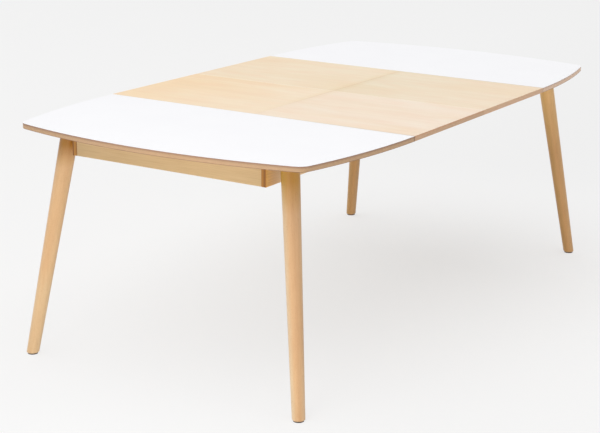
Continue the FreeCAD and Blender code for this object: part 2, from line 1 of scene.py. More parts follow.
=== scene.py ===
# %% [markdown]
# # A butterfly leaf table
# The table is already built as solids: end halves, leaves, slides and gears. This script dresses it. It loads
# the solids as a fixed frame, gives each one the finish of the real thing, adds the screws, and sets up
# a plain studio. All lengths are in metres, X runs along the table, Y across it and Z up.

# %% Load the frame
import math

import bmesh
import bpy
from mathutils import Matrix, Vector


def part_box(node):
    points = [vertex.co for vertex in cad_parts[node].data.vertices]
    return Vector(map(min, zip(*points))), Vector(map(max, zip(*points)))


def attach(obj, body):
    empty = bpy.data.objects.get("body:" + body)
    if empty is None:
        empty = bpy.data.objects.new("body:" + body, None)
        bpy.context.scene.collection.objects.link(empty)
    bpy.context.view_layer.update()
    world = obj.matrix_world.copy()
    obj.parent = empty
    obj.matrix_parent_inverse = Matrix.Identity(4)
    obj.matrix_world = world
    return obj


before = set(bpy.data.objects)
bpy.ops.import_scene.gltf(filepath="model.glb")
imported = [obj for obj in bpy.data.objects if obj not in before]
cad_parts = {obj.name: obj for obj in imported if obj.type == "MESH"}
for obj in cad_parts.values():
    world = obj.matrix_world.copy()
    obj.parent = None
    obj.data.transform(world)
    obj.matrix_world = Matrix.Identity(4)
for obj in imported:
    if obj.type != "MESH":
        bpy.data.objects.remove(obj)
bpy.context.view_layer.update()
ENDS = ("near", "far")
SIDES = ("left", "right")

# %% [markdown]
# ## Small helpers for finishes
# A finish is a node tree: textures decide a colour, a roughness and a tiny relief, and one Principled shader
# turns them into a surface. Writing out each node by hand would bury the idea of a finish, so small helpers
# do it in one line each. The first ones are for colours. A colour is easiest to judge as it looks on a screen,
# from 0 to 255, while a shader counts light, so each one is converted where it is named.

# %% Colours and a new finish
COAT_ROUGHNESS = 0.3


def srgb(red, green, blue):
    """A screen colour of 0 to 255 as the linear colour that a shader takes."""
    linear = []
    for value in (red, green, blue):
        share = value / 255
        linear.append(share / 12.92 if share <= 0.04045 else ((share + 0.055) / 1.055) ** 2.4)
    return (*linear, 1.0)


def grey(level):
    return (level, level, level, 1.0)


def dimmed(colour, share):
    """A colour with only a share of its light."""
    return (*(part * share for part in colour[:3]), 1.0)


BLACK = grey(0.0)
WHITE = grey(1.0)


def start_finish(name, roughness, metallic=0.0, coat=0.0):
    """A new material and its shader, with the values that are the same all over."""
    material = bpy.data.materials.new(name)
    material.use_nodes = True
    shader = material.node_tree.nodes["Principled BSDF"]
    shader.inputs["Roughness"].default_value = roughness
    shader.inputs["Metallic"].default_value = metallic
    shader.inputs["Coat Weight"].default_value = coat
    shader.inputs["Coat Roughness"].default_value = COAT_ROUGHNESS
    return material, shader


print("half of 255 on the screen is", round(srgb(127.5, 127.5, 127.5)[0], 3), "of the light")

# %% [markdown]
# The next helpers make a node, set it by name and join it to others. An input takes either a plain value or
# the output of another node, and one helper hides that difference, so sums and blends read like formulas.

# %% Make, join and calculate


def node(material, kind, **settings):
    """A node with its inputs, or its own properties, set by name."""
    made = material.node_tree.nodes.new("ShaderNode" + kind)
    for key, value in settings.items():
        socket = made.inputs.get(key.replace("_", " "))
        if socket is None:
            setattr(made, key, value)
        else:
            socket.default_value = value
    return made


def join(material, source, target):
    material.node_tree.links.new(source, target)


def feed(material, socket, value):
    """Give an input a plain value, or join another node's output to it."""
    if isinstance(value, bpy.types.NodeSocket):
        join(material, value, socket)
    else:
        socket.default_value = value


def arithmetic(material, operation, first, second=0.0):
    """A Math node on two outputs or numbers."""
    made = node(material, "Math", operation=operation)
    for socket, value in zip(made.inputs, (first, second)):
        feed(material, socket, value)
    return made.outputs["Value"]


def mapped(material, value, **limits):
    """A value carried from one range to another; a limit that isn't given is 0 or 1."""
    made = node(material, "MapRange", **limits)
    join(material, value, made.inputs["Value"])
    return made.outputs["Result"]


print("sums: arithmetic and mapped")

# %% [markdown]
# Most finishes are blends: of two tones by a noise, of two looks by a mask, or of many tones along a ramp. The
# Mix node blends, and its Multiply setting lays one colour over another as a thin stain does.

# %% Blends of colours
# a Mix node has inputs of the same names for each kind of data; these are the ones for colours
MIX_COLOUR_INPUTS = (0, 6, 7)
MIX_COLOUR_OUTPUT = 2


def mixed(material, factor, first, second, blend="MIX"):
    """A blend of two colours; the factor and the colours may be outputs or plain values."""
    made = node(material, "Mix", data_type="RGBA", blend_type=blend)
    for number, value in zip(MIX_COLOUR_INPUTS, (factor, first, second)):
        feed(material, made.inputs[number], value)
    return made.outputs[MIX_COLOUR_OUTPUT]


def multiplied(material, strength, first, second):
    """One colour times another, by a share."""
    return mixed(material, strength, first, second, blend="MULTIPLY")


def ramp(material, factor, stops):
    """A colour ramp from (place, colour) stops."""
    made = node(material, "ValToRGB")
    elements = made.color_ramp.elements
    while len(elements) < len(stops):
        elements.new(0.5)
    for element, (place, colour) in zip(elements, stops):
        element.position = place
        element.color = colour
    join(material, factor, made.inputs["Fac"])
    return made.outputs["Color"]


print("blends: mixed, multiplied and ramp")

# %% [markdown]
# Everything reads Object coordinates, which are metres on the real table, so a grain line of half a millimetre
# is written as half a millimetre. Grain is noise stretched along one axis, with few repeats per metre along
# the fibres and many across them. A bump node gives the light something to catch, with the relief's real depth.

# %% Coordinates, noise and relief
X, Y, Z = range(3)


def coordinates(material):
    return node(material, "TexCoord").outputs["Object"]


def split(material, vector):
    """The x, y and z of a vector as outputs."""
    made = node(material, "SeparateXYZ")
    join(material, vector, made.inputs["Vector"])
    return made.outputs


def streaks(material, source, scale, detail, distortion=0.0):
    """Noise with its own scale, in repeats per metre, along each axis."""
    stretch = node(material, "Mapping", Scale=scale)
    join(material, source, stretch.inputs["Vector"])
    noise = node(material, "TexNoise", Scale=1.0, Detail=detail, Distortion=distortion)
    join(material, stretch.outputs["Vector"], noise.inputs["Vector"])
    return noise.outputs["Fac"]


def marked(material, noise, ground, mark, start, full, strength):
    """A ground colour with marks of another colour where a noise is high."""
    return mixed(material, ramp(material, noise, [(start, BLACK), (full, grey(strength))]), ground, mark)


def relief(material, shader, height, depth):
    """Bump of a real depth in metres."""
    bump = node(material, "Bump", Strength=1.0, Distance=depth)
    join(material, height, bump.inputs["Height"])
    join(material, bump.outputs["Normal"], shader.inputs["Normal"])


print("textures: streaks, marked and relief")

# %% [markdown]
# A sheet's edge looks unlike its face. A second material for the edge would do it, but every solid here is one
# mesh, and the place of a point already tells the two apart: it lies on an end face, or between them.

# %% Tell faces apart, and dress solids
FACE_MARGIN = 0.00002


def at_ends(material, coordinate, low, high):
    """1 on the two faces where a coordinate has its lowest and highest value, and 0 on the faces between."""
    off_middle = arithmetic(material, "SUBTRACT", coordinate, (low + high) / 2)
    from_middle = arithmetic(material, "ABSOLUTE", off_middle)
    return arithmetic(material, "GREATER_THAN", from_middle, (high - low) / 2 - FACE_MARGIN)


def dress(names, material):
    """Put one finish on solids of the frame."""
    for name in names:
        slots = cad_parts[name].data.materials
        slots.clear()
        slots.append(material)
    print(material.name, "on", ", ".join(names))


# %% [markdown]
# ## White laminate
# The end panels are faced with a hard white sheet under a millimetre thick. Its face is a satin white with
# a very fine orange peel, and its cut edge shows the brown paper core as a thin dark line round the table.
# The balancing sheet under the panel is made the same way, in a plain tan.

# %% Laminate and backing sheets
LAMINATE_WHITE = srgb(245, 245, 247)
LAMINATE_SHADE = srgb(241, 241, 244)
BACKING_TAN = srgb(196, 164, 122)
BACKING_SHADE = srgb(182, 150, 108)
PAPER_CORE = srgb(150, 112, 92)
# noise in repeats per metre along X, Y and Z
SHEET_DRIFT = (6, 6, 6)
PAPER_LAYERS = (40, 40, 2500)
PEEL = (700, 700, 700)
PEEL_DEPTH = 0.00001


def sheet_finish(name, solid, light, shade, roughness):
    """A sheet with one finish on its level faces and its paper core round its edge."""
    material, shader = start_finish(name, roughness)
    place = coordinates(material)
    low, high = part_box(solid)
    level_faces = at_ends(material, split(material, place)[Z], low.z, high.z)
    face_colour = mixed(material, streaks(material, place, SHEET_DRIFT, detail=3), light, shade)
    paper = streaks(material, place, PAPER_LAYERS, detail=3)
    core_colour = mixed(material, paper, PAPER_CORE, dimmed(PAPER_CORE, 0.8))
    join(material, mixed(material, level_faces, core_colour, face_colour), shader.inputs["Base Color"])
    relief(material, shader, streaks(material, place, PEEL, detail=2), PEEL_DEPTH)
    return material


white_laminate = sheet_finish("white_laminate", "far_top_laminate", LAMINATE_WHITE, LAMINATE_SHADE,
                              roughness=0.36)
backing_sheet = sheet_finish("backing_sheet", "far_top_backing", BACKING_TAN, BACKING_SHADE, roughness=0.55)
dress([end + "_top_laminate" for end in ENDS], white_laminate)
dress([end + "_top_backing" for end in ENDS], backing_sheet)

# %% [markdown]
# ## Plywood edges
# The rim of the top is birch plywood: thin layers whose grain runs one way, then the other. Layers cut along
# the grain look pale and smooth, and layers cut across it look brown and porous. Real layers could be built
# one by one, but they are flush with each other, so the distance from the first layer is enough to tell
# which layer a point is in.

# %% Plywood layers
PLY_THICK = 0.00138
PLY_FIBRE = (260, 260, 900)


def layered(material, place, axis, first_layer, pale, brown):
    """Ply layers stacked along an axis, each with fine fibres; a pale and a brown layer alternate."""
    from_first = arithmetic(material, "SUBTRACT", split(material, place)[axis], first_layer)
    turn = arithmetic(material, "FRACT", arithmetic(material, "DIVIDE", from_first, 2 * PLY_THICK))
    layer = ramp(material, turn, [(0.46, BLACK), (0.54, WHITE)])
    fibre = streaks(material, place, PLY_FIBRE, detail=5)
    smooth = mixed(material, fibre, pale, dimmed(pale, 0.9))
    porous = mixed(material, fibre, brown, dimmed(brown, 0.72))
    return mixed(material, layer, smooth, porous)


LEAF_BOTTOM, LEAF_TOP = (corner.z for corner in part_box("far_leaf_left_panel"))
print("layers in a leaf:", round((LEAF_TOP - LEAF_BOTTOM) / PLY_THICK, 1))

# %% [markdown]
# The last millimetres of the rim beside each seam carry a painted shadow, the shade of the gap between the
# halves, the near ones most. The leaf's edge and the end panel's edge share one mask: the distance from the
# middle of the gap between them, less half the gap, is the distance from the nearer edge.

# %% Painted shadow beside the seams
LEAF_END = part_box("far_leaf_left_panel")[1].x
SEAM_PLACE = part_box("far_top_core")[0].x
SEAM_EASING = 0.004
# the colour and strength of the painted shadow in the rim beside each seam
RIM_SEAM_SHADOW = srgb(116, 82, 58)
RIM_SEAM_SHADOW_STRENGTH = 0.75
# the far seam takes this share of the painted shadow, and the change lies within this distance of the table's
# middle
FAR_SEAM_SHARE = 0.3
SEAM_SHADOW_CHANGE = 0.1


def rim_seam_shadow(material, x):
    """How much painted shadow the rim beside a seam takes: most at the edge itself, and more at the near seam.
    """
    from_centre = arithmetic(material, "ABSOLUTE", x)
    from_joint = arithmetic(material, "SUBTRACT", from_centre, (LEAF_END + SEAM_PLACE) / 2)
    from_gap = arithmetic(material, "SUBTRACT", arithmetic(material, "ABSOLUTE", from_joint),
                          (SEAM_PLACE - LEAF_END) / 2)
    fading = ramp(material, arithmetic(material, "DIVIDE", from_gap, SEAM_EASING),
                  [(0.5, grey(RIM_SEAM_SHADOW_STRENGTH)), (1.0, BLACK)])
    beside = arithmetic(material, "GREATER_THAN", from_gap, FACE_MARGIN)
    marking = mapped(material, x, From_Min=-SEAM_SHADOW_CHANGE, From_Max=SEAM_SHADOW_CHANGE, To_Min=1.0, To_Max=FAR_SEAM_SHARE)
    return arithmetic(material, "MULTIPLY", fading, arithmetic(material, "MULTIPLY", beside, marking))


print("seam at", round(SEAM_PLACE, 4), "m, end of the leaf at", round(LEAF_END, 4), "m")

# %% [markdown]
# The upper part of the rim carries painted shade, darker than the lower layers, and the far half's rim is
# painted paler than the near one, a painted sheen where it is seen at a grazing angle. The same rim goes round
# the leaves, so its colour is a function, and each finish calls it with tones of its own.

# %% Rim of the top
PLY_PORES = (300, 300, 1400)
PLY_PORE_DEPTH = 0.00004
# for each half, the pale, brown and upper layers of its rim; the upper tone is painted shade, and the far half's
# paler tones are painted sheen
RIM_PLIES = {
    "near": (srgb(210, 175, 137), srgb(183, 143, 105), srgb(156, 120, 94)),
    "far": (srgb(250, 216, 186), srgb(228, 190, 160), srgb(210, 178, 156)),
}


def rim_colour(material, place, pale, brown, upper):
    """Level plies, with painted shade on the upper part of the rim and a painted shadow beside the seams."""
    plies = layered(material, place, Z, LEAF_TOP, pale, brown)
    x, _, z = split(material, place)
    depth = arithmetic(material, "DIVIDE", arithmetic(material, "SUBTRACT", LEAF_TOP, z), LEAF_TOP - LEAF_BOTTOM)
    # painted shade on the upper part of the rim
    rim = mixed(material, ramp(material, depth, [(0.12, WHITE), (0.5, BLACK)]), plies, upper)
    return mixed(material, rim_seam_shadow(material, x), rim, RIM_SEAM_SHADOW)


def ply_finish(name, pale, brown, upper):
    material, shader = start_finish(name, roughness=0.5)
    place = coordinates(material)
    join(material, rim_colour(material, place, pale, brown, upper), shader.inputs["Base Color"])
    relief(material, shader, streaks(material, place, PLY_PORES, detail=4), PLY_PORE_DEPTH)
    return material


for end, plies in RIM_PLIES.items():
    dress([end + "_top_core"], ply_finish(end + "_plywood", *plies))

# %% [markdown]
# ## Leaf veneer
# The leaves are faced with pale birch, its grain running across the table. Birch has hardly any figure: faint
# broad bands, short silky streaks and a few warmer patches. Each is a noise of its own scale, and each one
# multiplies the colour under it, as thin coats of stain do, so that none of them stands out.

# %% Birch figure
BIRCH = srgb(247, 229, 206)
BIRCH_WARM = srgb(246, 226, 199)
BIRCH_PALE = srgb(248, 234, 215)
SILK_TONE = srgb(249, 246, 241)
SILK_STRENGTH = 0.5
ROSY_TONE = srgb(255, 250, 248)
# noise in repeats per metre along X, Y and Z
BIRCH_BANDS = (7, 1.6, 7)
BIRCH_SILK = (60, 3.5, 60)
BIRCH_PATCHES = (16, 9, 16)


def birch_figure(material, place):
    """Broad bands, silky streaks and a few rosy patches."""
    bands = streaks(material, place, BIRCH_BANDS, detail=3, distortion=0.8)
    silk = streaks(material, place, BIRCH_SILK, detail=5, distortion=0.3)
    patches = streaks(material, place, BIRCH_PATCHES, detail=2)
    colour = ramp(material, bands, [(0.32, BIRCH_WARM), (0.5, BIRCH), (0.7, BIRCH_PALE)])
    silky = multiplied(material, SILK_STRENGTH, colour,
                       ramp(material, silk, [(0.36, SILK_TONE), (0.6, WHITE)]))
    return multiplied(material, 1.0, silky, ramp(material, patches, [(0.4, WHITE), (0.7, ROSY_TONE)]))


print("a band of birch is about", round(1 / BIRCH_BANDS[0], 2), "m wide")

# %% [markdown]
# The edges that meet are eased by hand: the raw wood there shows as a warm line along the fold, worn most in the
# middle of the table. The cross seam has a painted highlight, a light line where its eased corner catches the
# light, and beside the end panels the veneer has a painted shadow line, the shade of the gap, strongest on the
# table's right side. Each mark is a mask that fades out from its seam, because thin strips of mesh would catch
# the light.

# %% Marks of use, painted highlight and painted shadow
# for each mark, its reach on either side of the seam, its strength and its colour
FOLD_LINE, FOLD_STRENGTH, RAW_FOLD = 0.0016, 0.8, srgb(210, 166, 120)
FOLD_BAND, BAND_STRENGTH, WORN_BAND = 0.03, 0.7, srgb(251, 248, 238)
# the next two are a painted highlight on the cross seam and a painted shadow beside the end panels
CROSS_LINE, CROSS_STRENGTH, CROSS_HIGHLIGHT = 0.0045, 0.5, srgb(252, 243, 224)
SEAM_SHADOW_LINE, SEAM_SHADOW_STRENGTH, LEAF_SEAM_SHADOW = 0.006, 0.7, srgb(178, 160, 140)
LEAST_WEAR_AND_SHADOW = 0.1
# the fold's wear grows between two places along the table, and the painted seam shadow between two places across
# it
FOLD_WEAR_FROM, FOLD_WEAR_TO = -0.35, -0.05
SEAM_SHADOW_FROM, SEAM_SHADOW_TO = 0.15, -0.5


def seam_mask(material, coordinate, width, strength):
    """A strength within a width of a seam at 0, fading out."""
    away = arithmetic(material, "DIVIDE", arithmetic(material, "ABSOLUTE", coordinate), width)
    return arithmetic(material, "MULTIPLY", ramp(material, away, [(0.5, WHITE), (1.0, BLACK)]), strength)


def wear_and_painted_light(material, place, veneer):
    """The veneer with its fold line, a painted highlight on its cross seam and a painted shadow strip beside
    each end panel.
    """
    x, y, _ = split(material, place)
    worn = mapped(material, x, From_Min=FOLD_WEAR_FROM, From_Max=FOLD_WEAR_TO, To_Min=LEAST_WEAR_AND_SHADOW, To_Max=1.0)
    band = arithmetic(material, "MULTIPLY", worn, seam_mask(material, y, FOLD_BAND, BAND_STRENGTH))
    with_band = multiplied(material, 1.0, veneer, mixed(material, band, WHITE, WORN_BAND))
    line = arithmetic(material, "MULTIPLY", worn, seam_mask(material, y, FOLD_LINE, FOLD_STRENGTH))
    with_fold = mixed(material, line, with_band, RAW_FOLD)
    # a painted highlight on the cross seam
    with_cross = mixed(material, seam_mask(material, x, CROSS_LINE, CROSS_STRENGTH), with_fold, CROSS_HIGHLIGHT)
    # a painted shadow beside the end panels, stronger towards the table's right side
    from_seam = arithmetic(material, "SUBTRACT", arithmetic(material, "ABSOLUTE", x), SEAM_PLACE)
    rightward = mapped(material, y, From_Min=SEAM_SHADOW_FROM, From_Max=SEAM_SHADOW_TO, To_Min=LEAST_WEAR_AND_SHADOW, To_Max=1.0)
    seam_shadow = arithmetic(material, "MULTIPLY", rightward, seam_mask(material, from_seam, SEAM_SHADOW_LINE, SEAM_SHADOW_STRENGTH))
    return mixed(material, seam_shadow, with_cross, LEAF_SEAM_SHADOW)


print("fold line", FOLD_LINE, "m, worn band", FOLD_BAND, "m to each side")

# %% [markdown]
# Each panel was cut from another sheet, so each has its own tint, and one of them yellows towards the rim. Its
# edge is plywood like the rim of the end panels, in other tones. One finish that takes a few values for each
# panel is shorter than four finishes, and they can't drift apart.

# %% Leaf panels
# for each panel, its tint at the fold and its tint at the rim
PANEL_TINTS = {
    "near_leaf_left": (srgb(247, 243, 232), srgb(247, 234, 208)),
    "near_leaf_right": (srgb(246, 243, 239), srgb(246, 243, 241)),
    "far_leaf_left": (srgb(242, 238, 224), srgb(243, 237, 221)),
    "far_leaf_right": (srgb(238, 236, 223), srgb(242, 237, 226)),
}
# for each leaf, the pale, brown and upper layers of its edge; the upper tone is painted shade, and the far
# leaf's paler tones are painted sheen
LEAF_PLIES = {
    "near": (srgb(222, 182, 142), srgb(194, 149, 110), srgb(200, 148, 106)),
    "far": (srgb(238, 192, 152), srgb(208, 164, 124), srgb(214, 170, 130)),
}
TINT_FROM, TINT_TO = 0.05, 0.5
BIRCH_FIBRE = (900, 22, 900)
BIRCH_DEPTH = 0.000012


def leaf_finish(name, fold_tint, rim_tint, plies):
    """Birch veneer on the level faces and on the faces in the fold, where its pale colour is painted light that
    softens the shade; plywood round the rest of the edge.
    """
    material, shader = start_finish(name, roughness=0.42, coat=0.15)
    place = coordinates(material)
    _, y, z = split(material, place)
    from_fold = arithmetic(material, "ABSOLUTE", y)
    outward = mapped(material, from_fold, From_Min=TINT_FROM, From_Max=TINT_TO)
    tint = mixed(material, outward, fold_tint, rim_tint)
    veneer = multiplied(material, 1.0, birch_figure(material, place), tint)
    # the faces in the fold take the veneer's colour instead of plywood: painted light that softens the shade in
    # the fold
    at_fold = arithmetic(material, "LESS_THAN", from_fold, FOLD_LINE)
    faced = arithmetic(material, "MAXIMUM", at_ends(material, z, LEAF_BOTTOM, LEAF_TOP), at_fold)
    rim = rim_colour(material, place, *plies)
    marking = wear_and_painted_light(material, place, veneer)
    join(material, mixed(material, faced, rim, marking), shader.inputs["Base Color"])
    relief(material, shader, streaks(material, place, BIRCH_FIBRE, detail=3), BIRCH_DEPTH)
    return material


for leaf, tints in PANEL_TINTS.items():
    end = leaf.split("_")[0]
    dress([leaf + "_panel"], leaf_finish(leaf + "_birch", *tints, LEAF_PLIES[end]))

# %% [markdown]
# ## Frame wood
# Aprons and rails are lacquered plywood with a straight grain along their length, with a little painted shade
# towards their ends, most on the rails. One finish serves both, because only the axis of the grain, the tones
# and the end faces differ.
# The end faces are told apart by place again, and a function for each gives their colour.

# %% Straight grain
# repeats per metre across the grain and along it
FRAME_GRAIN = (14.0, 1.4)
FRAME_FIBRE = (420.0, 9.0)
FRAME_FIBRE_TONE = srgb(182, 146, 98)
FRAME_FIBRE_DEPTH = 0.00002
END_SHADE_REACH = 0.075


def along_axis(axis, across, lengthwise):
    """A noise scale for a grain that runs along one axis."""
    return tuple(lengthwise if number == axis else across for number in range(3))


def frame_finish(name, solid, along, tones, ends_of):
    """Straight grain along an axis of a solid, with painted shade towards its ends, and end grain on the two end
    faces.
    """
    pale, deep, end_shade = tones
    material, shader = start_finish(name, roughness=0.45, coat=0.1)
    place = coordinates(material)
    low, high = (corner[along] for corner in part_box(solid))
    out = arithmetic(material, "ABSOLUTE", split(material, place)[along])
    end_faces = at_ends(material, out, low, high)
    grain = streaks(material, place, along_axis(along, *FRAME_GRAIN), detail=4, distortion=0.4)
    fibre = streaks(material, place, along_axis(along, *FRAME_FIBRE), detail=4)
    lined = marked(material, fibre, mixed(material, grain, pale, deep), FRAME_FIBRE_TONE,
                   start=0.45, full=0.75, strength=0.5)
    # painted shade, deepest at the ends and gone within the reach
    inward = mapped(material, arithmetic(material, "SUBTRACT", high, out), From_Max=END_SHADE_REACH)
    end_shaded = multiplied(material, 1.0, lined, mixed(material, inward, end_shade, WHITE))
    join(material, mixed(material, end_faces, end_shaded, ends_of(material, place)), shader.inputs["Base Color"])
    relief(material, shader, fibre, FRAME_FIBRE_DEPTH)
    return material


print("grain along X:", along_axis(X, *FRAME_GRAIN), "repeats per metre")

# %% [markdown]
# At the ends the saw has opened the layers, so the two rail ends beside the apron are redder and darker than its
# face. Their plies stand upright. The left rail's end is dark along both its sides, painted shadow where it
# meets the leg and the apron, and the right one's is dark in its outer half; a short ramp across each rail sets
# them.

# %% Aprons and rails
RAIL_END = srgb(177, 119, 42)
RAIL_END_DARK = srgb(136, 86, 22)
RAIL_END_PALE = srgb(194, 140, 58)
# the dark plies at both sides of the left rail's end are painted shadow where it meets the leg and the apron
LEFT_RAIL_PLIES_AND_SHADOWS = [(0.12, RAIL_END_DARK), (0.2, RAIL_END_PALE), (0.4, RAIL_END), (0.6, RAIL_END_PALE),
                   (0.8, RAIL_END_DARK)]
RIGHT_RAIL_PLIES = [(0.4, RAIL_END), (0.52, RAIL_END_DARK), (0.74, RAIL_END_DARK), (0.86, RAIL_END)]
RAIL_END_FIBRE = (300, 900, 260)
FIBRE_SHARE = 0.5
# the pale and deep tones of the grain, and the painted shade towards the ends
RAIL_TONES = (srgb(248, 216, 168), srgb(238, 200, 148), srgb(249, 226, 165))
APRON_TONES = (srgb(214, 184, 138), srgb(201, 170, 122), srgb(248, 248, 246))


def rail_ends(material, place):
    """Upright plies: the left rail's end is dark along both its sides, painted shadow where it meets the leg and
    the apron, and the right one's is dark in its outer half.
    """
    inner, outer = (corner.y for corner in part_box("far_left_rail"))
    across = split(material, place)[Y]
    away = arithmetic(material, "SUBTRACT", arithmetic(material, "ABSOLUTE", across), inner)
    depth = arithmetic(material, "DIVIDE", away, outer - inner)
    on_left = arithmetic(material, "GREATER_THAN", across, 0.0)
    plies = mixed(material, on_left, ramp(material, depth, RIGHT_RAIL_PLIES),
                  ramp(material, depth, LEFT_RAIL_PLIES_AND_SHADOWS))
    fibre = streaks(material, place, RAIL_END_FIBRE, detail=4)
    return mixed(material, arithmetic(material, "MULTIPLY", fibre, FIBRE_SHARE), plies, RAIL_END_DARK)


def apron_ends(material, place):
    return layered(material, place, X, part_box("far_apron")[1].x, RAIL_END_PALE, RAIL_END)


rail_wood = frame_finish("rail_wood", "far_left_rail", X, RAIL_TONES, rail_ends)
apron_wood = frame_finish("apron_wood", "far_apron", Y, APRON_TONES, apron_ends)
dress([f"{end}_{side}_rail" for end in ENDS for side in SIDES], rail_wood)
dress([end + "_apron" for end in ENDS], apron_wood)

# %% [markdown]
# ## Beech
# The legs are turned from solid beech: a warm, even wood whose mark is a rain of short dark flecks along the
# grain. The grain must lean with each leg, so each leg first turns the coordinates until its own axis stands
# upright, and then stretches the noise along it. Level coordinates would send the grain out through its side.

# %% Beech grain
# noise in repeats per metre, with the grain along the third axis
BEECH_BANDS = (38, 38, 2.0)
BEECH_FIBRE = (700, 700, 18)
BEECH_FLECKS = (1300, 1300, 210)
FIBRE_BROWN = srgb(190, 142, 92)
FLECK_BROWN = srgb(160, 112, 72)
BEECH_DEPTH = 0.000015
UP = Vector((0, 0, 1))


def beech_finish(name, lean, pale, deep, tone=None):
    """Beech with its grain along a direction; a tone is a function that gives a colour to lay over it, which on
    the legs is painted shade.
    """
    material, shader = start_finish(name, roughness=0.38, coat=0.15)
    upright = node(material, "Mapping", Rotation=lean.rotation_difference(UP).to_euler())
    join(material, coordinates(material), upright.inputs["Vector"])
    place = upright.outputs["Vector"]
    bands = streaks(material, place, BEECH_BANDS, detail=4, distortion=0.5)
    fibre = streaks(material, place, BEECH_FIBRE, detail=3)
    flecks = streaks(material, place, BEECH_FLECKS, detail=1)
    wood = ramp(material, bands, [(0.3, pale), (0.7, deep)])
    lined = marked(material, fibre, wood, FIBRE_BROWN, start=0.5, full=0.8, strength=0.35)
    colour = marked(material, flecks, lined, FLECK_BROWN, start=0.66, full=0.72, strength=0.45)
    if tone is not None:
        colour = multiplied(material, 1.0, colour, tone(material))
    join(material, colour, shader.inputs["Base Color"])
    relief(material, shader, fibre, BEECH_DEPTH)
    return material


ACROSS_TABLE = Vector((0, 1, 0))
inner_beech = beech_finish("inner_beech", ACROSS_TABLE, srgb(222, 188, 142), srgb(206, 166, 116))
inner_parts = ("frame_dowels", "corner_blocks", "storage_slat")
dress([end + "_" + part for end in ENDS for part in inner_parts], inner_beech)

# %% [markdown]
# Each leg has painted shade laid over its wood. It changes from the left side to the right side of the leg as
# the camera sees it, where light falls more on one side than the other, and a little with the depth below the
# top, where the top shades the near legs. The ramp across the leg is as wide as the leg is at that height, so it
# narrows down the taper. Where the leg's axis lies is worked out from the box of its solid and its two radii.

# %% Painted shade on a leg
LEG_FOOT_RADIUS = 0.0193
LEG_TOP_RADIUS = 0.028
# the level direction to the camera's right, across which the painted shade of a leg changes
VIEW_ACROSS = Vector((0.5045, -0.8634, 0))


def leg_axis(corner):
    """The middle of a leg's top end, and the direction down the leg."""
    low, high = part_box(corner + "_leg")
    both_radii = LEG_TOP_RADIUS + LEG_FOOT_RADIUS
    reach = (high - low) - Vector((both_radii, both_radii, 0))
    outward = 1 if corner.startswith("far") else -1
    sideward = 1 if corner.endswith("left") else -1
    lean = Vector((outward * reach.x, sideward * reach.y, -reach.z)).normalized()
    top_x = low.x + LEG_TOP_RADIUS if outward > 0 else high.x - LEG_TOP_RADIUS
    top_y = low.y + LEG_TOP_RADIUS if sideward > 0 else high.y - LEG_TOP_RADIUS
    return Vector((top_x, top_y, high.z)), lean


def painted_leg_shade(material, depths, sides, top_centre, lean):
    """Painted shade that changes down the leg and from its left side to its right side as the camera sees it."""
    place = coordinates(material)
    below_top = arithmetic(material, "SUBTRACT", LEAF_BOTTOM, split(material, place)[Z])
    by_depth = ramp(material, arithmetic(material, "DIVIDE", below_top, LEAF_BOTTOM), depths)
    across = (VIEW_ACROSS - lean * VIEW_ACROSS.dot(lean)).normalized()
    along_view = node(material, "VectorMath", operation="DOT_PRODUCT")
    for socket, value in zip(along_view.inputs, (place, across)):
        feed(material, socket, value)
    off_axis = arithmetic(material, "SUBTRACT", along_view.outputs["Value"], top_centre.dot(across))
    width = mapped(material, below_top, From_Max=LEAF_BOTTOM,
                   To_Min=2 * LEG_TOP_RADIUS, To_Max=2 * LEG_FOOT_RADIUS)
    share = arithmetic(material, "ADD", arithmetic(material, "DIVIDE", off_axis, width), 0.5)
    return multiplied(material, 1.0, by_depth, ramp(material, share, sides))


for corner in ("near_left", "far_right"):
    print(corner, "leg leans", round(math.degrees(leg_axis(corner)[1].angle(-UP)), 1), "degrees")

# %% [markdown]
# A near leg has painted shade under the top, where the top shades it, and is palest at its foot, and a far one
# darkens lower down. The near right leg has a band of painted shade right of its middle as the camera sees it,
# where less light falls, and the others hardly change from side to side. A few stops on each ramp are enough,
# because the shade changes slowly.

# %% Legs
# the pale and deep tones of the grain
LEG_TINTS = {
    "near_left": (srgb(227, 197, 152), srgb(217, 179, 132)),
    "near_right": (srgb(223, 199, 165), srgb(213, 182, 141)),
    "far_left": (srgb(246, 201, 133), srgb(232, 184, 114)),
    "far_right": (srgb(255, 210, 144), srgb(243, 192, 121)),
}
# painted shade down a leg, from the underside of the top to the floor
NEAR_LEFT_SHADE_DOWN = [(0.07, srgb(197, 164, 82)), (0.17, srgb(251, 242, 235)), (0.6, srgb(251, 242, 235)),
                    (0.7, WHITE)]
NEAR_RIGHT_SHADE_DOWN = [(0.07, srgb(221, 200, 112)), (0.2, srgb(246, 242, 239)), (0.7, srgb(246, 242, 239)),
                     (0.85, WHITE)]
FAR_DARKENING_DOWN = [(0.12, WHITE), (0.42, srgb(225, 214, 211))]
# painted shade across a leg, from its left side to its right side as the camera sees it
NEAR_LEFT_SHADE_ACROSS = [(0.0, srgb(250, 245, 243)), (0.8, WHITE)]
NEAR_RIGHT_SHADE_ACROSS = [(0.1, WHITE), (0.35, srgb(247, 230, 213)), (0.62, srgb(237, 215, 194)),
                    (0.94, srgb(252, 239, 225))]
FAR_SHADE_ACROSS = [(0.2, srgb(240, 241, 227)), (0.5, WHITE), (0.8, srgb(247, 250, 255))]
PAINTED_LEG_SHADES = {
    "near_left": (NEAR_LEFT_SHADE_DOWN, NEAR_LEFT_SHADE_ACROSS),
    "near_right": (NEAR_RIGHT_SHADE_DOWN, NEAR_RIGHT_SHADE_ACROSS),
    "far_left": (FAR_DARKENING_DOWN, FAR_SHADE_ACROSS),
    "far_right": (FAR_DARKENING_DOWN, FAR_SHADE_ACROSS),
}


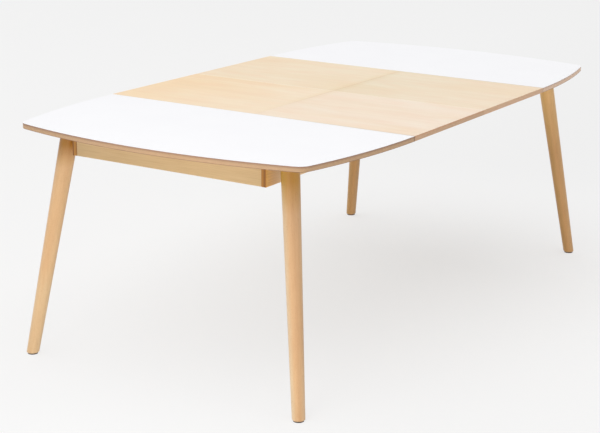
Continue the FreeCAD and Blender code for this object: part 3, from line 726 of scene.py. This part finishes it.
def leg_finish(corner):
    top_centre, lean = leg_axis(corner)

    def tone(material):
        return painted_leg_shade(material, *PAINTED_LEG_SHADES[corner], top_centre, lean)

    return beech_finish(corner + "_beech", lean, *LEG_TINTS[corner], tone)


for corner in LEG_TINTS:
    dress([corner + "_leg"], leg_finish(corner))

# %% [markdown]
# ## Metals
# The slide members are aluminium extrusions, drawn through a die along X, so their sheen is brushed along X.
# The plates, angles and hangers are zinc-plated steel, whose crystals give a faint mottling. The hinge
# barrels are turned brass. Each is one shader with a stretched or a round noise in its roughness.

# %% Metal finishes
# how much smoother and rougher than its mean a metal gets from place to place
SMOOTHER = 0.08
ROUGHER = 0.12


def metal_finish(name, light, dark, scale, roughness, depth):
    """Bare metal whose grain shows in its colour, its roughness and its relief."""
    material, shader = start_finish(name, roughness, metallic=1.0)
    grain = streaks(material, coordinates(material), scale, detail=4)
    join(material, mixed(material, grain, light, dark), shader.inputs["Base Color"])
    rough = mapped(material, grain, To_Min=roughness - SMOOTHER, To_Max=roughness + ROUGHER)
    join(material, rough, shader.inputs["Roughness"])
    relief(material, shader, grain, depth)
    return material


aluminium = metal_finish("drawn_aluminium", srgb(214, 216, 218), srgb(190, 192, 195), scale=(8, 1500, 1500),
                         roughness=0.36, depth=0.000008)
zinc_steel = metal_finish("zinc_plate", srgb(198, 200, 204), srgb(170, 172, 178), scale=(160, 160, 160),
                          roughness=0.42, depth=0.000006)
brass = metal_finish("turned_brass", srgb(214, 178, 108), srgb(190, 150, 82), scale=(1200, 60, 1200),
                     roughness=0.34, depth=0.000006)
dress([f"{end}_{side}_slide" for end in ENDS for side in SIDES], aluminium)
dress([side + "_middle_slide" for side in SIDES], aluminium)
steel_parts = ("rail_brackets", "leg_plates")
dress([end + "_" + part for end in ENDS for part in steel_parts] + ["slat_hangers"], zinc_steel)
dress([f"{end}_leaf_{side}_hinges" for end in ENDS for side in SIDES], brass)

# %% [markdown]
# ## Nylon and rubber
# Racks, pinions, pulleys and pegs are moulded in natural nylon, which is milky and a little waxy. The glides
# are dark nylon, scuffed under the feet. The belts are black rubber. Moulded parts get a very fine, even
# relief; a flat colour would look like plaster.

# %% Plastic finishes
MOULDED_CLOUD = (25, 25, 25)


def moulded_finish(name, light, dark, roughness, grain, depth):
    """Plastic or rubber with a faint cloud in its colour and a fine, even grain."""
    material, shader = start_finish(name, roughness)
    place = coordinates(material)
    join(material, mixed(material, streaks(material, place, MOULDED_CLOUD, detail=3), light, dark),
         shader.inputs["Base Color"])
    relief(material, shader, streaks(material, place, (grain, grain, grain), detail=3), depth)
    return material


pale_nylon = moulded_finish("pale_nylon", srgb(232, 230, 221), srgb(222, 219, 208), roughness=0.45,
                            grain=1400, depth=0.00001)
dark_nylon = moulded_finish("dark_nylon", srgb(84, 70, 60), srgb(62, 52, 46), roughness=0.6,
                            grain=900, depth=0.00003)
belt_rubber = moulded_finish("belt_rubber", srgb(44, 44, 45), srgb(30, 30, 31), roughness=0.7,
                             grain=1100, depth=0.00003)
moving_parts = ("rack", "pinion", "pulley")
dress([f"{end}_{side}_{part}" for end in ENDS for side in SIDES for part in moving_parts], pale_nylon)
dress(["leaf_pegs"], pale_nylon)
dress([end + "_foot_glides" for end in ENDS], dark_nylon)
dress([side + "_timing_belt" for side in SIDES], belt_rubber)

# %% [markdown]
# ## Screws
# Screws hold the plates, angles and slides under the top. Only the heads show: a low dome with a cross recess.
# A head could be a sphere with a cross cut out of it, but a cut leaves ragged faces. Here a ring of twelve
# vertices is extruded up the dome, drawn in to the outline of the cross and pushed down into the head, which
# takes a few dozen clean faces. Extruding adds them in no fixed order, so they are sorted by place at the end.

# %% A pan head with a cross recess
HEAD_RADIUS = 0.0042
HEAD_HEIGHT = 0.0022
RECESS_DEPTH = 0.0014
RECESS_ARM = 0.0023
RECESS_HALF_WIDTH = 0.0006
RING = 12
# a vertex further than this from the line of an arm is an inner corner of the cross
ARM_ANGLE = math.radians(40)
# rings of the dome: (share of the radius, depth); a ring without a share takes the outline of the cross
DOME = [(1.0, 0.45 * HEAD_HEIGHT), (0.86, 0.8 * HEAD_HEIGHT), (0.66, HEAD_HEIGHT), (None, HEAD_HEIGHT),
        (None, HEAD_HEIGHT - RECESS_DEPTH)]


def cross_corner(place):
    """Where a vertex of the ring belongs on the outline of the cross."""
    angle = math.atan2(place.y, place.x)
    arm = round(angle / (math.pi / 2)) * math.pi / 2
    off = angle - arm
    along = RECESS_HALF_WIDTH if abs(off) > ARM_ANGLE else RECESS_ARM
    return Matrix.Rotation(arm, 3, "Z") @ Vector((along, math.copysign(RECESS_HALF_WIDTH, off), 0))


def face_place(face):
    return tuple(round(part, 6) for part in face.calc_center_median())


def screw_head():
    """A head that points along -Z from the origin: a dome with a sunk cross."""
    head = bmesh.new()
    seat = bmesh.ops.create_circle(head, cap_ends=True, radius=HEAD_RADIUS, segments=RING)["verts"]
    half_step = Matrix.Rotation(math.radians(180 / RING), 3, "Z")
    bmesh.ops.rotate(head, cent=(0, 0, 0), matrix=half_step, verts=seat)
    edges = head.edges[:]
    for share, depth in DOME:
        grown = bmesh.ops.extrude_edge_only(head, edges=edges)["geom"]
        edges = [part for part in grown if isinstance(part, bmesh.types.BMEdge)]
        for vertex in (part for part in grown if isinstance(part, bmesh.types.BMVert)):
            flat = Vector((vertex.co.x, vertex.co.y, 0))
            vertex.co = cross_corner(flat) if share is None else flat.normalized() * HEAD_RADIUS * share
            vertex.co.z = -depth
    bmesh.ops.edgeloop_fill(head, edges=edges)
    bmesh.ops.recalc_face_normals(head, faces=head.faces[:])
    for number, face in enumerate(sorted(head.faces, key=face_place)):
        face.index = number
    head.faces.sort()
    return head


HEAD_MESH = bpy.data.meshes.new("screw_head")
head_shape = screw_head()
head_shape.to_mesh(HEAD_MESH)
head_shape.free()
print("one head:", len(HEAD_MESH.polygons), "faces")

# %% [markdown]
# One head is made once and copied into a single mesh for each body, so fifty screws cost three objects. Each
# copy is leant until it points out of the face that it sits on, and turned a little further than the last one.

# %% One object of screws for a body
DOWN = Vector((0, 0, -1))
SCREW_TURN = 37  # degrees from one screw to the next


def as_object(name, mesh_source):
    """An object in the scene from a bmesh, which is freed."""
    mesh = bpy.data.meshes.new(name)
    mesh_source.to_mesh(mesh)
    mesh_source.free()
    made = bpy.data.objects.new(name, mesh)
    bpy.context.scene.collection.objects.link(made)
    return made


def screws(name, body, seats):
    """One object that holds every screw head of a body; a seat is (place, outward direction)."""
    heads = bmesh.new()
    for number, (place, outward) in enumerate(seats):
        before = len(heads.verts)
        heads.from_mesh(HEAD_MESH)
        heads.verts.ensure_lookup_table()
        spin = Matrix.Rotation(math.radians(SCREW_TURN * number), 4, "Z")
        lean = DOWN.rotation_difference(outward).to_matrix().to_4x4()
        bmesh.ops.transform(heads, matrix=Matrix.Translation(place) @ lean @ spin, verts=heads.verts[before:])
    made = as_object(name, heads)
    made.data.materials.append(zinc_steel)
    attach(made, body)
    print(name, len(seats), "heads")


def centre(box):
    return (box[0] + box[1]) / 2


print("each head is turned", SCREW_TURN, "degrees on from the last one")

# %% [markdown]
# Each screw is placed by the solid it holds: the head's seat lies on the face, and its axis points out of it.
# The seats are worked out from the frame's boxes, so they follow the solids. Each half has a square plate over
# each of its two legs, and four steel angles outside its rails.

# %% Seats on plates and angles
PLATE_THICK = 0.003
PLATE_SCREW_INSET = 0.011
ANGLE_WIDTH = 0.04
ANGLE_THICK = 0.002
TOP_SCREW_OUT = 0.018
RAIL_SCREW_UP = 0.012


def plate_seats(end):
    """Four screws up through each leg plate."""
    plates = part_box(end + "_leg_plates")
    plate_size = plates[1].x - plates[0].x
    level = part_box(end + "_top_backing")[0].z - PLATE_THICK
    reach = plate_size / 2 - PLATE_SCREW_INSET
    seats = []
    for across in (1, -1):
        middle = Vector((centre(plates).x, across * (plates[1].y - plate_size / 2), level))
        for step_x, step_y in ((1, 1), (1, -1), (-1, 1), (-1, -1)):
            seats.append((middle + Vector((step_x * reach, step_y * reach, 0)), DOWN))
    return seats


def angle_seats(end):
    """Two screws in each steel angle, one up into the top and one into the rail."""
    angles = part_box(end + "_rail_brackets")
    rail_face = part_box(end + "_left_rail")[1].y
    seats = []
    for across in (1, -1):
        for x in (angles[0].x + ANGLE_WIDTH / 2, angles[1].x - ANGLE_WIDTH / 2):
            into_top = Vector((x, across * (rail_face + TOP_SCREW_OUT), angles[1].z - ANGLE_THICK))
            into_rail = Vector((x, across * (rail_face + ANGLE_THICK), angles[0].z + RAIL_SCREW_UP))
            seats += [(into_top, DOWN), (into_rail, Vector((0, across, 0)))]
    return seats


for end in ENDS:
    print(end, "half:", len(plate_seats(end)), "seats on plates and", len(angle_seats(end)), "on angles")

# %% [markdown]
# Each half also has two slide members along it, screwed up into the end panel. Their inner ends reach under the
# leaves, where no screw may go, so the screws are spread over the stretch under the panel only.

# %% Screws under the halves
SLIDE_SCREW_SHARES = (0.08, 0.36, 0.64, 0.92)


def slide_seats(end):
    """Four screws along the stretch of each slide member that lies under the end panel."""
    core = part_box(end + "_top_core")
    seats = []
    for side in SIDES:
        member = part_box(f"{end}_{side}_slide")
        panel_edge, outer = (core[0].x, member[1].x) if end == "far" else (core[1].x, member[0].x)
        for share in SLIDE_SCREW_SHARES:
            x = panel_edge + (outer - panel_edge) * share
            seats.append((Vector((x, centre(member).y, member[0].z)), DOWN))
    return seats


for end in ENDS:
    screws(end + "_half_screws", end + "_half", plate_seats(end) + angle_seats(end) + slide_seats(end))

# %% [markdown]
# The hangers carry the slats on which the folded leaves lie. Each one has a foot under either middle slide, and
# two screws hold a foot. They belong to the carriage, the body that stays in the middle while the halves part.

# %% Screws of the hangers
HANGER_HALF_WIDTH = 0.03
HANGER_FOOT_WIDTH = 0.03
HANGER_SCREW_STEP = 0.018
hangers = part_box("slat_hangers")
foot_middle = centre(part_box("left_middle_slide")).y - HANGER_FOOT_WIDTH / 2
hanger_seats = []
for along in (1, -1):
    for across in (1, -1):
        for step in (-HANGER_SCREW_STEP, HANGER_SCREW_STEP):
            x = along * (hangers[1].x - HANGER_HALF_WIDTH) + step
            hanger_seats.append((Vector((x, across * foot_middle, hangers[0].z)), DOWN))
screws("hanger_screws", "carriage", hanger_seats)

# %% [markdown]
# ## Studio floor
# The table stands on a plain pale floor, as in a white studio. The floor is a wide sheet of matt paper whose
# white falls off slowly with the distance, and sooner on the table's right side: painted shade. A lamp could
# make that fall-off too, but it would light the table unevenly, so it is in the colour of the paper.

# %% Colour of the floor
FLOOR_NEAR = srgb(246, 246, 246)
FLOOR_FAR = srgb(239, 239, 239)
# the floor on the table's right side has its painted shade sooner: (share of the way from front to back, colour)
FLOOR_RIGHT_SHADE = [(0.0, FLOOR_NEAR), (0.25, srgb(244, 244, 244)), (0.38, FLOOR_FAR), (1.0, srgb(237, 237, 237))]
FLOOR_FRONT, FLOOR_BACK = -2.0, 9.0
RIGHT_SIDE, LEFT_SIDE = 0.3, 2.2
FLOOR_DRIFT = (0.4, 0.4, 0.4)
DRIFT_STRENGTH = 0.2
DRIFT_TONE = srgb(241, 240, 239)


def paper_colour(material, place):
    """Near white in front and a little deeper behind, painted shade that comes sooner on the right side than on
    the left.
    """
    x, y, _ = split(material, place)
    distance = mapped(material, x, From_Min=FLOOR_FRONT, From_Max=FLOOR_BACK)
    left_wash = mixed(material, distance, FLOOR_NEAR, FLOOR_FAR)
    leftward = mapped(material, y, From_Min=RIGHT_SIDE, From_Max=LEFT_SIDE)
    wash = mixed(material, leftward, ramp(material, distance, FLOOR_RIGHT_SHADE), left_wash)
    drift = streaks(material, place, FLOOR_DRIFT, detail=2)
    return mixed(material, arithmetic(material, "MULTIPLY", drift, DRIFT_STRENGTH), wash, DRIFT_TONE)


print("floor tone changes from", FLOOR_FRONT, "to", FLOOR_BACK, "m")

# %% [markdown]
# The floor adds a little glow of its own, but only to what the camera sees: a floor that really shone would
# light the table from below, and one without glow would need more light on the table to look white. The glow
# is mixed in by a share below 1, so the shadow under the table stays.

# %% Floor
FLOOR_SIZE = 60
FLOOR_GLOW_NEAR = 0.86
FLOOR_GLOW_FAR = 0.7
GLOW_FROM, GLOW_TO = -1.2, 0.6


def seen_rays(material):
    """1 for what the camera sees, itself, in a reflection or through glass, and 0 for light on the table."""
    rays = node(material, "LightPath").outputs
    mirrored = arithmetic(material, "MAXIMUM", rays["Is Glossy Ray"], rays["Is Transmission Ray"])
    return arithmetic(material, "MAXIMUM", rays["Is Camera Ray"], mirrored)


def paper_finish():
    material, shader = start_finish("studio_paper", roughness=0.9)
    shader.inputs["Specular IOR Level"].default_value = 0.2
    place = coordinates(material)
    paper = paper_colour(material, place)
    join(material, paper, shader.inputs["Base Color"])
    glow = node(material, "Emission", Strength=1.0)
    join(material, paper, glow.inputs["Color"])
    level = mapped(material, split(material, place)[X], From_Min=GLOW_FROM, From_Max=GLOW_TO,
                   To_Min=FLOOR_GLOW_NEAR, To_Max=FLOOR_GLOW_FAR)
    blend = node(material, "MixShader")
    share = arithmetic(material, "MULTIPLY", seen_rays(material), level)
    for socket, value in zip(blend.inputs, (share, shader.outputs["BSDF"], glow.outputs["Emission"])):
        join(material, value, socket)
    join(material, blend.outputs["Shader"], material.node_tree.nodes["Material Output"].inputs["Surface"])
    return material


paper_grid = bmesh.new()
bmesh.ops.create_grid(paper_grid, x_segments=1, y_segments=1, size=FLOOR_SIZE)
floor = as_object("studio_floor", paper_grid)
floor.data.materials.append(paper_finish())
print("floor:", 2 * FLOOR_SIZE, "m wide")

# %% [markdown]
# ## Light
# Light from above leaves the legs and the near apron dull, so three weak area lamps in front of them lift
# those sides. Each is round and shines within a beam, and each is hidden from the camera and from gloss, so
# none of them shows as a patch of light or as a streak down a leg.

# %% Lamps
# for each lamp: its place, what it is aimed at, its width, its power in watts and its beam in degrees
LAMPS = {
    "low_lamp": ((-2.3, -0.6, 0.6), (-0.9, 0, 0.2), 0.6, 2.3, 80),
    "high_lamp": ((-2.3, 0, 1.7), (-0.8, 0, 0.7), 0.5, 3, 180),
    "side_lamp": ((-1.0, -2.4, 0.9), (-0.9, -0.4, 0.6), 0.8, 1.3, 100),
}


def light_object(name, light):
    lamp = bpy.data.objects.new(name, light)
    bpy.context.scene.collection.objects.link(lamp)
    return lamp


def soft_lamp(name, place, aim, size, power, beam):
    """A round area lamp that shines within a beam."""
    light = bpy.data.lights.new(name, "AREA")
    light.shape = "DISK"
    light.size = size
    light.energy = power
    light.spread = math.radians(beam)
    lamp = light_object(name, light)
    lamp.location = place
    lamp.rotation_euler = (Vector(aim) - Vector(place)).to_track_quat("-Z", "Y").to_euler()
    lamp.visible_camera = False
    lamp.visible_glossy = False


for name, settings in LAMPS.items():
    soft_lamp(name, *settings)
print("lamps:", ", ".join(LAMPS))

# %% [markdown]
# An even white world lights all sides, and one very soft sun overhead adds enough for a colour that faces up
# to render as it is written. A sun lights a wide floor evenly, so the background stays plain and only the faint
# shadow under the table shows.

# %% World and sun
WORLD_LIGHT = 0.36
WORLD_SEEN = 0.9
TOWARDS_SUN = (-0.12, 0.1, 0.98)
SUN_STRENGTH = 2.08
SUN_SPREAD = 80


def soft_sun(name, towards_light, strength, spread):
    """A sun of a wide angle, so its shadows are soft."""
    light = bpy.data.lights.new(name, "SUN")
    light.energy = strength
    light.angle = math.radians(spread)
    lamp = light_object(name, light)
    lamp.rotation_euler = Vector(towards_light).to_track_quat("Z", "Y").to_euler()


def white_world(strength, seen_strength):
    """An even white world; views and reflections of it are whiter than the light that it gives."""
    world = bpy.data.worlds.new("studio_white")
    world.use_nodes = True
    background = world.node_tree.nodes["Background"]
    background.inputs["Color"].default_value = WHITE
    level = mapped(world, seen_rays(world), To_Min=strength, To_Max=seen_strength)
    join(world, level, background.inputs["Strength"])
    bpy.context.scene.world = world


white_world(WORLD_LIGHT, WORLD_SEEN)
soft_sun("ceiling_light", TOWARDS_SUN, SUN_STRENGTH, SUN_SPREAD)
bpy.context.scene.view_settings.view_transform = "Standard"
print("world", WORLD_LIGHT, "and sun", SUN_STRENGTH)

# %% [markdown]
# ## Camera
# The camera stands at the near end, to the right, a little above a standing person's eye, and looks down the
# table. A long lens keeps the sides nearly parallel. Its place and turn are a position, a heading, a downward
# pitch and a small roll, and the lens is given by its focal length in sensor widths. A small lens shift moves
# the view without turning the camera, so the table's lines keep their directions.

# %% Camera
CAMERA_PLACE = Vector((-4.3222, -2.5979, 1.6967))
HEADING = math.radians(30.300)
PITCH = math.radians(15.150)
ROLL = math.radians(0.982)
SENSOR_WIDTH = 36.0
FOCAL_WIDTHS = 2.5012
SHIFT = (-0.0820, -0.0162)

ahead = Vector((math.cos(HEADING) * math.cos(PITCH), math.sin(HEADING) * math.cos(PITCH), -math.sin(PITCH)))
level_right = Vector((math.sin(HEADING), -math.cos(HEADING), 0))
level_up = level_right.cross(ahead)
right = level_right * math.cos(ROLL) + level_up * math.sin(ROLL)
up = level_up * math.cos(ROLL) - level_right * math.sin(ROLL)
lens = bpy.data.cameras.new("camera")
lens.sensor_width = SENSOR_WIDTH
lens.lens = FOCAL_WIDTHS * SENSOR_WIDTH
lens.shift_x, lens.shift_y = SHIFT
camera = bpy.data.objects.new("camera", lens)
camera.matrix_world = Matrix.Translation(CAMERA_PLACE) @ Matrix((right, up, -ahead)).transposed().to_4x4()
bpy.context.scene.collection.objects.link(camera)
bpy.context.scene.camera = camera
print("lens:", round(lens.lens, 1), "mm on a", SENSOR_WIDTH, "mm sensor")
